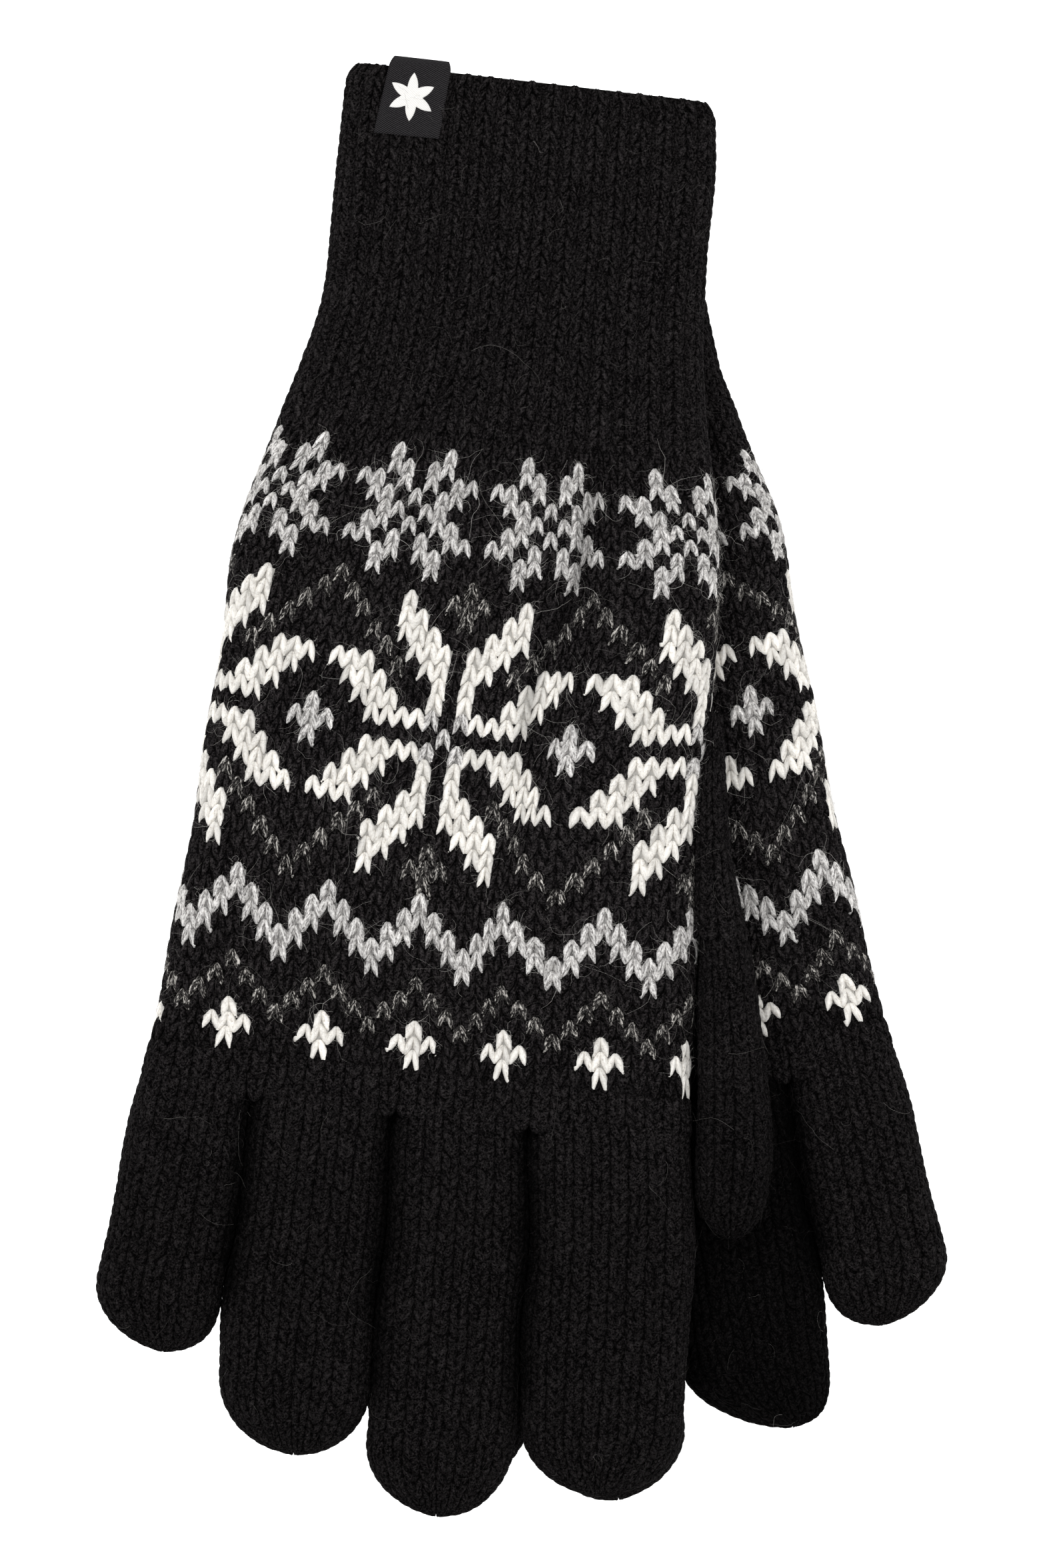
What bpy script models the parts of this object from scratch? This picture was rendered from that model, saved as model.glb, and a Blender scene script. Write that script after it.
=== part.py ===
"""Pair of patterned knitted gloves lying flat, the front glove on its mirrored mate.

Every digit is a hollow knitted tube in two lengths, joined to the hollow hand at a
root fold and to each other at a middle fold. Metres, +Z up, fingers towards -Y.

A glove is laid out in its own flat coordinates before it is placed:
  u  across the glove, positive towards the thumb
  t  along the glove, from the mouth of the cuff to the finger tips
  z  height above the surface that the glove lies on
"""
from math import cos, pi, radians, sin

import bmesh
import bpy
from mathutils import Vector

MM = 0.001

# ---------------------------------------------------------------- driving dimensions (mm)
THICK = 12.0            # height of a flat glove, two layers of knitting and the air between
CUFF_THICK = 11.0       # height at the ribbed cuff
WALL = 1.8              # one layer of knitting
THUMB_WALL = 1.5        # the slim thumb is knitted a little finer
FOLD_PROUD = 0.1        # how far a fold line stands off the surface
GAP = 0.3               # running gap between neighbouring pieces
SIDE = 6.0              # how far the rounded edge of a tube reaches in from its side
CUFF_END = 62.0         # where the ribbed cuff meets the patterned hand
ROOT = 181.0            # where the four fingers leave the hand
THUMB_START = 106.0     # top of the thumb gusset
THUMB_ROOT = 146.0      # where the thumb leaves its gusset
LAYER = 12.4            # height of the surface that the front glove lies on

# half width of the glove at a distance from the mouth, the same for both hands past the wrist
HAND_WIDTH = [(80, 42.1), (100, 43.4), (128, 44.4), (157, 46.3), (181, 48.6)]
FRONT_CUFF = [(0, 31.0), (3, 32.6), (28, 33.2), (42, 33.6), (52, 35.4), (62, 37.6)]
REAR_CUFF = [(5, 29.6), (8, 31.0), (35, 31.6), (52, 34.6), (62, 37.4)]

# each digit: where it folds in the middle, its tip, how long and where the rounded end is,
# and its edges as (t, u), the edge away from the thumb first
DIGITS = {
    "little": {
        "root": ROOT, "fold": 204.0, "tip": 229.6, "end": 11.0, "tip_u": -39.6,
        "low": [(181, -48.6), (200, -50.9), (218, -52.2)],
        "high": [(181, -29.3), (219, -30.2)],
    },
    "ring": {
        "root": ROOT, "fold": 210.0, "tip": 245.0, "end": 12.5, "tip_u": -14.6,
        "low": [(181, -28.3), (219, -29.2)],
        "high": [(181, -4.4), (232, -3.0)],
    },
    "middle": {
        "root": ROOT, "fold": 213.0, "tip": 253.0, "end": 12.5, "tip_u": 11.6,
        "low": [(181, -3.4), (232, -2.0)],
        "high": [(181, 19.4), (202, 21.5), (238, 23.5)],
    },
    "index": {
        "root": ROOT, "fold": 211.0, "tip": 246.2, "end": 12.5, "tip_u": 39.0,
        "low": [(181, 20.4), (202, 22.5), (238, 24.5)],
        "high": [(181, 48.6), (193, 50.4), (218, 52.6)],
    },
    "thumb": {
        "root": THUMB_ROOT, "fold": 171.0, "tip": 198.5, "end": 8.5, "tip_u": 57.6,
        "low": [(146, 46.4), (181, 49.8), (192, 50.9)],
        "high": [(146, 54.3), (157, 57.8), (167, 60.4), (184, 63.2)],
    },
}
GUSSET_HIGH = [(106, 45.6), (118, 47.4), (129, 49.8), (146, 54.3)]

# woven label folded over the mouth of the front cuff
LABEL_WIDE = 10.4
LABEL_OUTSIDE = 13.8
LABEL_INSIDE = 9.0
LABEL_THICK = 0.7
LABEL_U = -20.3
LABEL_TURN = 6.4
LABEL_LIP = 1.7         # how far the fold stands beyond the mouth
MARK_RADIUS = 3.6       # plain six-armed star woven into the label

FRONT_ORIGIN = (2.235, 124.2)
FRONT_TILT = 6.5
REAR_HAND = (8.435, 7.0)   # middle of the rear hand, at REAR_HAND_T
REAR_HAND_T = 120.0
REAR_TILT = 8.8
REAR_CUFF_TILT = 0.4
REAR_BEND = (51.0, 85.0)   # the wrist of the rear glove bends between these
CENTRE = (0.365, 0.385)    # middle of the pair, taken off every position

ARC_STEPS = 6
FABRIC = {
    "knit": (0.060, 0.058, 0.062, 1.0),
    "rib": (0.022, 0.022, 0.024, 1.0),
    "label": (0.012, 0.012, 0.014, 1.0),
    "mark": (0.800, 0.800, 0.780, 1.0),
}


# ---------------------------------------------------------------- small helpers
def slope(points, k):
    """Slope of the smooth curve through (t, value) points at point k."""
    before = max(k - 1, 0)
    after = min(k + 1, len(points) - 1)
    return (points[after][1] - points[before][1]) / (points[after][0] - points[before][0])


def along(points, t):
    """Value at t on a smooth curve through (t, value) points, held level past its ends."""
    if t <= points[0][0]:
        return points[0][1]
    for k in range(len(points) - 1):
        (t0, v0), (t1, v1) = points[k], points[k + 1]
        if t <= t1:
            span = t1 - t0
            s = (t - t0) / span
            rise = slope(points, k) * span * s * (1 - s) ** 2
            fall = slope(points, k + 1) * span * s ** 2 * (1 - s)
            return v0 + (v1 - v0) * s * s * (3 - 2 * s) + rise - fall
    return points[-1][1]


def front_place(u, t):
    a = radians(FRONT_TILT)
    x = FRONT_ORIGIN[0] + u * cos(a) - t * sin(a)
    y = FRONT_ORIGIN[1] - u * sin(a) - t * cos(a)
    return x, y


def rear_angle(t):
    share = min(max((t - REAR_BEND[0]) / (REAR_BEND[1] - REAR_BEND[0]), 0.0), 1.0)
    return radians(REAR_CUFF_TILT + (REAR_TILT - REAR_CUFF_TILT) * share)


def rear_place(u, t):
    """The rear glove mirrors the front one and bends a little at the wrist."""
    steps = 40
    x, y = REAR_HAND
    step = (t - REAR_HAND_T) / steps
    for k in range(steps):
        a = rear_angle(REAR_HAND_T + (k + 0.5) * step)
        x += step * sin(a)
        y -= step * cos(a)
    a = rear_angle(t)
    return x - u * cos(a), y - u * sin(a)


PLACE = {"front": front_place, "rear": rear_place}
BASE = {"front": LAYER, "rear": 0.0}
WIDTH = {"front": FRONT_CUFF + HAND_WIDTH, "rear": REAR_CUFF + HAND_WIDTH}


def section(u0, u1, z0, z1, side, flat):
    """Outline of a flattened tube as (u, z), running from the bottom round the high side."""
    half = (z1 - z0) / 2
    mid = (z0 + z1) / 2
    reach = min(side, (u1 - u0) / 2)
    points = []
    for centre, first in ((u1 - reach, -pi / 2), (u0 + reach, pi / 2)):
        for k in range(ARC_STEPS + 1):
            a = first + pi * k / ARC_STEPS
            points.append((centre + reach * cos(a), mid + half * sin(a)))
        other = u0 + reach if first < 0 else u1 - reach
        level = points[-1][1]
        for k in range(1, flat + 1):
            points.append((centre + (other - centre) * k / (flat + 1), level))
    return points


def spot(glove, u, t, z):
    """World position of a point of a glove."""
    x, y = PLACE[glove](u, t)
    return Vector(((x - CENTRE[0]) * MM, (y - CENTRE[1]) * MM, (z + BASE[glove]) * MM))


def ring(glove, t, outline):
    return [spot(glove, u, t, z) for u, z in outline]


def material(name, colour):
    mat = bpy.data.materials.new(name)
    mat.use_nodes = True
    shader = mat.node_tree.nodes["Principled BSDF"]
    shader.inputs["Base Color"].default_value = colour
    shader.inputs["Roughness"].default_value = 0.95
    mat.diffuse_color = colour
    return mat


def add_object(name, bm, colour, pivot, parent=None):
    """Object with its own origin at pivot, a world position, carried by its parent."""
    bmesh.ops.recalc_face_normals(bm, faces=bm.faces)
    bmesh.ops.translate(bm, verts=bm.verts, vec=-pivot)
    mesh = bpy.data.meshes.new(name)
    bm.to_mesh(mesh)
    bm.free()
    obj = bpy.data.objects.new(name, mesh)
    bpy.context.scene.collection.objects.link(obj)
    mesh.materials.append(material(name, colour))
    obj["pivot"] = pivot
    obj.location = pivot
    if parent:
        obj.parent = parent
        obj.location = pivot - Vector(parent["pivot"])
    return obj


def middle(points):
    return sum(points, Vector()) / len(points)


def loft(name, outer, inner, colour, pivot, parent=None, start_open=True, end_open=True):
    """Hollow tube between two sets of rings; a closed end is domed over inside and out."""
    bm = bmesh.new()
    skins = []
    for rings in (outer, inner):
        skins.append([[bm.verts.new(p) for p in points] for points in rings])
    for skin in skins:
        for near, far in zip(skin, skin[1:]):
            count = len(near)
            for k in range(count):
                bm.faces.new((near[k], near[(k + 1) % count], far[(k + 1) % count], far[k]))
    for is_open, end in ((start_open, 0), (end_open, -1)):
        if is_open:
            out, inn = skins[0][end], skins[1][end]
            count = len(out)
            for k in range(count):
                bm.faces.new((out[k], out[(k + 1) % count], inn[(k + 1) % count], inn[k]))
        else:
            for skin in skins:
                loop = skin[end]
                hub = bm.verts.new(middle([v.co for v in loop]))
                for k in range(len(loop)):
                    bm.faces.new((loop[k], loop[(k + 1) % len(loop)], hub))
    return add_object(name, bm, colour, pivot, parent)


# ---------------------------------------------------------------- pieces of one glove
def tube_rings(glove, stations, flat):
    """Outer and inner rings for stations of (t, u0, u1, height)."""
    outer = []
    inner = []
    for t, u0, u1, height in stations:
        outer.append(ring(glove, t, section(u0, u1, 0, height, SIDE, flat)))
        hollow = section(u0 + WALL, u1 - WALL, WALL, height - WALL, SIDE - WALL, flat)
        inner.append(ring(glove, t, hollow))
    return outer, inner


def make_cuff(glove, hand):
    width = WIDTH[glove]
    start = width[0][0]
    stations = []
    for t in (start, start + 3, 28, 42, 47, 52, 57, CUFF_END - GAP):
        w = along(width, t)
        stations.append((t, -w, w, CUFF_THICK))
    outer, inner = tube_rings(glove, stations, 4)
    return loft(glove + "_cuff", outer, inner, FABRIC["rib"], spot(glove, 0, start, 0), hand)


def make_hand(glove):
    width = WIDTH[glove]
    stations = []
    for t in (CUFF_END, 67, 73, 80, 88, 100, 114, 128, 142, 157, 169, ROOT - GAP):
        w = along(width, t)
        height = along([(CUFF_END, CUFF_THICK), (80, THICK)], t)
        stations.append((t, -w, w, height))
    outer, inner = tube_rings(glove, stations, 4)
    return loft(glove + "_hand", outer, inner, FABRIC["knit"], spot(glove, 0, CUFF_END, 0))


def make_gusset(glove, hand):
    """Wedge that carries the thumb, closed at its top and open to the thumb."""
    width = WIDTH[glove]
    outer = []
    inner = []
    for t in (THUMB_START, 113, 121, 131, THUMB_ROOT - GAP):
        half = along([(THUMB_START, 2.6), (131, THICK / 2)], t)
        low = along(width, t) + GAP
        outline = section(low, along(GUSSET_HIGH, t), THICK / 2 - half, THICK / 2 + half, SIDE, 1)
        outer.append(ring(glove, t, outline))
    for t in (125, 131, 138, THUMB_ROOT - GAP):
        half = along([(125, 2.4), (131, THICK / 2 - WALL)], t)
        low = along(width, t) + GAP + THUMB_WALL
        high = max(along(GUSSET_HIGH, t) - THUMB_WALL, low + 0.5)
        outline = section(low, high, THICK / 2 - half, THICK / 2 + half, SIDE - WALL, 1)
        inner.append(ring(glove, t, outline))
    pivot = spot(glove, along(GUSSET_HIGH, THUMB_START), THUMB_START, THICK / 2)
    name = glove + "_thumb_gusset"
    return loft(name, outer, inner, FABRIC["knit"], pivot, hand, start_open=False)


def make_passage(glove, hand):
    """Cutter for the way from the hand into the thumb, through the side wall and the gusset."""
    bm = bmesh.new()
    rings = []
    for t in (128.5, 141.5):
        outline = [(41.5, 3.0), (48.2, 3.0), (48.2, THICK - 3.0), (41.5, THICK - 3.0)]
        rings.append([bm.verts.new(p) for p in ring(glove, t, outline)])
    bm.faces.new(rings[0])
    bm.faces.new(rings[1])
    for k in range(4):
        bm.faces.new((rings[0][k], rings[0][(k + 1) % 4], rings[1][(k + 1) % 4], rings[1][k]))
    pivot = spot(glove, 41.5, 128.5, THICK / 2)
    cutter = add_object(glove + "_thumb_passage", bm, FABRIC["knit"], pivot, hand)
    cutter.hide_render = True
    cutter.display_type = "WIRE"
    return cutter


def cut(obj, cutter):
    boolean = obj.modifiers.new("thumb_passage", "BOOLEAN")
    boolean.operation = "DIFFERENCE"
    boolean.solver = "EXACT"
    boolean.object = cutter


def fold_height(glove):
    """Height of a fold line: the front glove folds up, its mate below it folds down."""
    return THICK + FOLD_PROUD if glove == "front" else -FOLD_PROUD


def hinge_point(glove, digit, key):
    """Middle of the fold line at a digit's root or middle; a thumb turns sideways at its root."""
    t = digit[key] - GAP / 2
    if key == "root" and digit["root"] == THUMB_ROOT:
        return spot(glove, along(digit["high"], t) + GAP, t, THICK / 2)
    u = (along(digit["low"], t) + along(digit["high"], t)) / 2
    return spot(glove, u, t, fold_height(glove))


def make_digit(glove, name, digit, hand):
    wall = WALL if name != "thumb" else THUMB_WALL

    def rings_at(t, low, high, half):
        mid = THICK / 2
        out = section(low, high, mid - half, mid + half, SIDE, 2)
        inn_half = half - wall
        inn = section(low + wall, high - wall, mid - inn_half, mid + inn_half, SIDE - wall, 2)
        return ring(glove, t, out), ring(glove, t, inn)

    def straight(stations):
        pairs = []
        for t in stations:
            pairs.append(rings_at(t, along(digit["low"], t), along(digit["high"], t), THICK / 2))
        return [p[0] for p in pairs], [p[1] for p in pairs]

    root, fold, tip, end = (digit[key] for key in ("root", "fold", "tip", "end"))
    outer, inner = straight([root, (root + fold) / 2, fold - GAP])
    pivot = hinge_point(glove, digit, "root")
    lower = loft(glove + "_" + name + "_lower", outer, inner, FABRIC["knit"], pivot, hand)

    base = tip - end
    outer, inner = straight([fold, (fold + base) / 2, base])
    low, high = along(digit["low"], base), along(digit["high"], base)
    for skin, inset in ((outer, 0.0), (inner, wall)):
        reach = end - inset
        for turn in (22, 42, 60, 77):
            a = radians(turn)
            share = sin(a)
            centre = (low + high) / 2 + (digit["tip_u"] - (low + high) / 2) * share ** 2
            wide = ((high - low) / 2 - inset) * cos(a)
            half = (THICK / 2 - inset) * cos(a)
            mid = THICK / 2
            outline = section(centre - wide, centre + wide, mid - half, mid + half, SIDE, 2)
            skin.append(ring(glove, base + reach * share, outline))
    pivot = hinge_point(glove, digit, "fold")
    upper = glove + "_" + name + "_upper"
    loft(upper, outer, inner, FABRIC["knit"], pivot, lower, end_open=False)


def label_point(across, down):
    a = radians(LABEL_TURN)
    top_u = LABEL_U + 0.8
    return top_u + across * cos(a) - down * sin(a), down * cos(a) + across * sin(a) - LABEL_LIP


def make_label(glove, cuff):
    """Folded strip of woven tape: one leg outside the mouth, the other inside it."""
    top = CUFF_THICK + GAP
    low = CUFF_THICK - WALL - GAP - LABEL_THICK
    bend = (top + LABEL_THICK - low) / 2
    core = (top + LABEL_THICK + low) / 2
    profile = [(LABEL_OUTSIDE, top + LABEL_THICK)]
    for k in range(7):
        a = pi / 2 + pi * k / 6
        profile.append((1.2 + 1.2 * cos(a), core + bend * sin(a)))
    profile.append((LABEL_INSIDE, low))
    profile.append((LABEL_INSIDE, low + LABEL_THICK))
    for k in range(7):
        a = 3 * pi / 2 - pi * k / 6
        thin = bend - LABEL_THICK
        profile.append((1.2 + 0.5 * cos(a), core + thin * sin(a)))
    profile.append((LABEL_OUTSIDE, top))
    bm = bmesh.new()
    sides = []
    for across in (-LABEL_WIDE / 2, LABEL_WIDE / 2):
        side = []
        for down, z in profile:
            u, t = label_point(across, down)
            side.append(bm.verts.new(ring(glove, t, [(u, z)])[0]))
        sides.append(side)
    count = len(profile)
    for k in range(count):
        nxt = (k + 1) % count
        bm.faces.new((sides[0][k], sides[0][nxt], sides[1][nxt], sides[1][k]))
    half = count // 2
    for side in sides:
        for k in range(half - 1):
            bm.faces.new((side[k], side[k + 1], side[count - 2 - k], side[count - 1 - k]))
    fold = spot(glove, LABEL_U, -LABEL_LIP, CUFF_THICK)
    return add_object(glove + "_label", bm, FABRIC["label"], fold, cuff)


def make_mark(glove, label):
    """Plain six-armed star in pale thread, a thin plate just above the label."""
    z0 = CUFF_THICK + GAP + LABEL_THICK + 0.1
    bm = bmesh.new()
    outline = []
    for k in range(12):
        radius = MARK_RADIUS if k % 2 == 0 else MARK_RADIUS * 0.42
        a = pi * k / 6
        outline.append((radius * sin(a), LABEL_OUTSIDE / 2 + radius * cos(a)))
    layers = []
    for z in (z0, z0 + 0.3):
        layer = []
        for across, down in outline:
            u, t = label_point(across, down)
            layer.append(bm.verts.new(ring(glove, t, [(u, z)])[0]))
        layers.append(layer)
    for layer in layers:
        hub = bm.verts.new(middle([v.co for v in layer]))
        for k in range(12):
            bm.faces.new((layer[k], layer[(k + 1) % 12], hub))
    for k in range(12):
        nxt = (k + 1) % 12
        bm.faces.new((layers[0][k], layers[0][nxt], layers[1][nxt], layers[1][k]))
    centre = middle([v.co for v in layers[0]])
    add_object(glove + "_label_mark", bm, FABRIC["mark"], centre, label)


def make_glove(glove):
    """One whole glove; gives back its cuff."""
    hand = make_hand(glove)
    cuff = make_cuff(glove, hand)
    gusset = make_gusset(glove, hand)
    passage = make_passage(glove, hand)
    cut(hand, passage)
    cut(gusset, passage)
    for name, digit in DIGITS.items():
        make_digit(glove, name, digit, hand)
    return cuff


for old in list(bpy.data.objects):
    bpy.data.objects.remove(old, do_unlink=True)
make_glove("rear")
front_cuff = make_glove("front")
front_label = make_label("front", front_cuff)
make_mark("front", front_label)
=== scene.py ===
"""Looks for the pair of patterned knitted gloves, built stitch by stitch round the CAD frame.

Every stitch is modelled as two plump legs laid on the surface of a tube. A glove is laid out
in its own flat coordinates, in millimetres:
  u  across the glove, positive towards the thumb
  t  along the glove, from the mouth of the cuff to the finger tips
  z  height above the surface that the glove lies on
"""
from math import cos, pi, radians, sin

import bpy
import numpy as np
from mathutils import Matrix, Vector

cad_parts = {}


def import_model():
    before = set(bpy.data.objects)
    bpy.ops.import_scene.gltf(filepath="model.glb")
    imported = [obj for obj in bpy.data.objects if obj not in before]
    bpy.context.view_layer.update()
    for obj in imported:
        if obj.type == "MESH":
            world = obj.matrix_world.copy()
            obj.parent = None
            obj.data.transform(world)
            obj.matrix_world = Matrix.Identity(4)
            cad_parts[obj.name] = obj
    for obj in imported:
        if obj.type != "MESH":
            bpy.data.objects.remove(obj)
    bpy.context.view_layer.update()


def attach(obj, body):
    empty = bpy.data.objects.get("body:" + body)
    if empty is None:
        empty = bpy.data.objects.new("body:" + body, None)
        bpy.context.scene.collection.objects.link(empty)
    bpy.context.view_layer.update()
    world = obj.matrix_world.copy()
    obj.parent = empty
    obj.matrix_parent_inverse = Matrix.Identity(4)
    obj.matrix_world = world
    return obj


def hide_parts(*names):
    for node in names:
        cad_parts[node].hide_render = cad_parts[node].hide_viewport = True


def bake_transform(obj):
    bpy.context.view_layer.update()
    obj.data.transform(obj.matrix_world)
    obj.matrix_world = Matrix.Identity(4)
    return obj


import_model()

MM = 0.001
RNG = np.random.default_rng(7)

# ------------------------------ shape, repeated from the CAD (mm)
THICK = 12.0  # height of a flat glove
CUFF_THICK = 11.0  # height at the ribbed cuff
SIDE = 6.0  # how far the rounded edge of a tube reaches in from its side
CUFF_END = 62.0  # where the ribbed cuff meets the patterned hand
ROOT = 181.0  # where the four fingers leave the hand
THUMB_START = 106.0  # top of the thumb gusset
THUMB_ROOT = 146.0  # where the thumb leaves its gusset
LAYER = 12.4  # height of the surface that the front glove lies on
# half the width of the hand and of each cuff, as (t, mm)
HAND_WIDTH = [(80, 42.1), (100, 43.4), (128, 44.4), (157, 46.3), (181, 48.6)]
CUFF_WIDTH = {
    "front": [(0, 31.0), (3, 32.6), (28, 33.2), (42, 33.6), (52, 35.4), (62, 37.6)],
    "rear": [(5, 29.6), (8, 31.0), (35, 31.6), (52, 34.6), (62, 37.4)],
}
WIDTH = {glove: CUFF_WIDTH[glove] + HAND_WIDTH for glove in CUFF_WIDTH}
# each digit's root, middle fold and tip in t, the length and middle of its domed end, its sides
DIGITS = {
    "little": {
        "root": ROOT, "fold": 204.0, "tip": 229.6, "end": 11.0, "tip_u": -39.6,
        "low": [(181, -48.6), (200, -50.9), (218, -52.2)],
        "high": [(181, -29.3), (219, -30.2)],
    },
    "ring": {
        "root": ROOT, "fold": 210.0, "tip": 245.0, "end": 12.5, "tip_u": -14.6,
        "low": [(181, -28.3), (219, -29.2)],
        "high": [(181, -4.4), (232, -3.0)],
    },
    "middle": {
        "root": ROOT, "fold": 213.0, "tip": 253.0, "end": 12.5, "tip_u": 11.6,
        "low": [(181, -3.4), (232, -2.0)],
        "high": [(181, 19.4), (202, 21.5), (238, 23.5)],
    },
    "index": {
        "root": ROOT, "fold": 211.0, "tip": 246.2, "end": 12.5, "tip_u": 39.0,
        "low": [(181, 20.4), (202, 22.5), (238, 24.5)],
        "high": [(181, 48.6), (193, 50.4), (218, 52.6)],
    },
    "thumb": {
        "root": THUMB_ROOT, "fold": 171.0, "tip": 198.5, "end": 8.5, "tip_u": 57.6,
        "low": [(146, 46.4), (181, 49.8), (192, 50.9)],
        "high": [(146, 54.3), (157, 57.8), (167, 60.4), (184, 63.2)],
    },
}
REAR_RING = dict(DIGITS["ring"], end=15.0, tip_u=-21.0)  # its tip leans to one side
GUSSET_START_HALF = 2.6  # half the height of the gusset where it starts
GUSSET_HIGH = [(106, 45.6), (118, 47.4), (129, 49.8), (146, 54.3)]
# where the gloves lie: x, y of the front one's mouth and the rear one's hand, and turns in degrees
FRONT_ORIGIN = (2.235, 124.2)
FRONT_TILT = 6.5
REAR_HAND = (8.435, 7.0)
REAR_HAND_T = 120.0
REAR_TILT = 8.8
REAR_CUFF_TILT = 0.4
REAR_BEND = (51.0, 85.0)  # the rear glove bends at the wrist between these
CENTRE = (0.365, 0.385)  # middle of the pair, which the frame has at its origin

# ------------------------------ knitting gauge
WALES = 72  # stitches round a patterned hand
REPEAT = 18  # stitches in one repeat of the star band
FIRST_ROW = {"front": -19, "rear": -21}
LAST_ROW = 20
GROUND_ROW = 22  # the cloth under the stitches reaches this row
ROW_PITCH = 2.94  # length of a stitch of the pattern, mm
PATTERN_WALE = 2.62  # its width
# (row, t) of the rows of the pattern, counted from the middle row of the star band
ROWS = {
    "front": [(-21, 58.4), (-8, 91.7), (0, 115.2), (15, 159.2), (21, 174.6), (22, 179.9)],
    "rear": [(-21, 63.4), (-12, 88.0), (-4, 108.0), (4, 130.0), (13, 155.9), (21, 175.4),
             (22, 179.9)],
}
# (t, u) of the line that the middle column of the star follows
STAR_LINE = {
    "front": [(66, -0.2), (90, -0.5), (115, -2.45), (145, -3.3), (170, -1.8)],
    "rear": [(66, -8.4), (115, -9.4), (145, -8.5), (170, -9.2)],
}
# the front glove has a soft crease where the stitches are drawn together: (t, column), (t, mm)
CREASE_COLUMN = [(75, 10.0), (115, 9.0), (150, 6.5)]
CREASE_PULL = [(60, -1.6), (115, -1.8), (150, -1.9), (168, -0.6)]
CREASE_COLUMNS = 2.2  # how wide it is, in stitches
# that crease is also a shallow fold: (t, u) of its line, (t, mm) of its depth
FOLD_LINE = [(66, 19.5), (72, 18.9), (86, 18.0), (105, 12.2), (113, 11.8), (125, 11.2)]
FOLD_DEPTH = [(62, 0.0), (74, 0.9), (108, 0.9), (124, 0.0)]
FOLD_WIDTH = 1.7
FOLD_SHADE = 0.45  # painted shade: how much darker the yarn is in it, for each mm of depth
# columns are wider by this share on the upper side of a hand and narrower below it: (t, share)
SQUEEZE = [(66, -0.03), (100, 0.0), (145, 0.0), (170, -0.035)]
# rows bow towards the cuff at the edges of the hand, and slope a little across it: (t, mm)
ROW_BOW = [(62, 0.6), (70, 1.2), (90, 3), (150, 3), (168, 1.5), (182, 0.4)]
ROW_SLOPE = [(150, 0.0), (168, 0.4), (180, 0.0)]
PLAIN_WALE = 3.35  # width of a stitch of the plain knitting, mm
PLAIN_ROW = 2.03  # its length
PLAIN_RELIEF = 1.1  # how proud its stitches stand, against those of the pattern
PLAIN_FULL = 1.06  # how wide their legs are, against those of the pattern
GUSSET_WALES = 8  # stitches round a thumb gusset
ROOT_ROWS = 4  # plain rows between the pattern and the fingers
RIBS = 36  # knit ribs round a cuff
RIB_SPREAD = 1.35  # a knit rib is wider than an even share by this
RIB_FULL = 1.03
KNIT_RIB_WALE = 2.3
PURL_RIB_WALE = 2.0
INSIDE_WALE = 2.2  # width of a stitch on the inner side of the cuff
FULLER = 0.6  # how much a finger fills out towards its neighbour
THUMB_SLIM = 0.9  # a thumb is thinner by this on the side that faces the other glove
OVERLAP = 0.85  # how far a stitch reaches over the next row
SKIN = -0.40  # the knitted ground lies this far under the surface
WALL = 1.1  # thickness of that ground
INSIDE_KNIT = 26.0  # how far into the cuff its inner side is knitted out
ROOT_SINK = 0.75  # how far the cloth of the hand sinks under that of the fingers
FRONT_SWAY = 1.1  # how far the front cuff bulges to one side
EDGE_FLAT = 0.4  # stitches are pressed flatter by this at the edges of a tube
CROWN = 0.05  # a tube is lower by this share towards its edges
CLOSED = 89.5  # a domed end turns in by this many degrees
CLOSED_KNIT = 85  # and its stitches end here

BLACK, DARK, LIGHT, CREAM = range(4)


# ------------------------------ coordinates
def curve(points, t):
    """Smooth curve through (t, value) points, held level past its ends."""
    ts = np.array([p[0] for p in points], float)
    vs = np.array([p[1] for p in points], float)
    last = len(points) - 1
    before = np.maximum(np.arange(last + 1) - 1, 0)
    after = np.minimum(np.arange(last + 1) + 1, last)
    slope = (vs[after] - vs[before]) / (ts[after] - ts[before])
    k = np.clip(np.searchsorted(ts, t) - 1, 0, last - 1)
    span = ts[k + 1] - ts[k]
    s = np.clip((t - ts[k]) / span, 0.0, 1.0)
    rise = slope[k] * span * s * (1 - s) ** 2
    fall = slope[k + 1] * span * s ** 2 * (1 - s)
    return vs[k] + (vs[k + 1] - vs[k]) * s * s * (3 - 2 * s) + rise - fall


def rear_line():
    """Middle line of the rear glove, which bends a little at the wrist, as arrays over t."""
    t = np.linspace(-10.0, 270.0, 2801)
    share = np.clip((t - REAR_BEND[0]) / (REAR_BEND[1] - REAR_BEND[0]), 0.0, 1.0)
    a = np.radians(REAR_CUFF_TILT + (REAR_TILT - REAR_CUFF_TILT) * share)
    step = t[1] - t[0]
    x = np.concatenate(([0.0], np.cumsum((np.sin(a[1:]) + np.sin(a[:-1])) / 2 * step)))
    y = np.concatenate(([0.0], np.cumsum(-(np.cos(a[1:]) + np.cos(a[:-1])) / 2 * step)))
    x += REAR_HAND[0] - np.interp(REAR_HAND_T, t, x)
    y += REAR_HAND[1] - np.interp(REAR_HAND_T, t, y)
    return t, x, y, a


REAR_LINE = rear_line()


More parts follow.
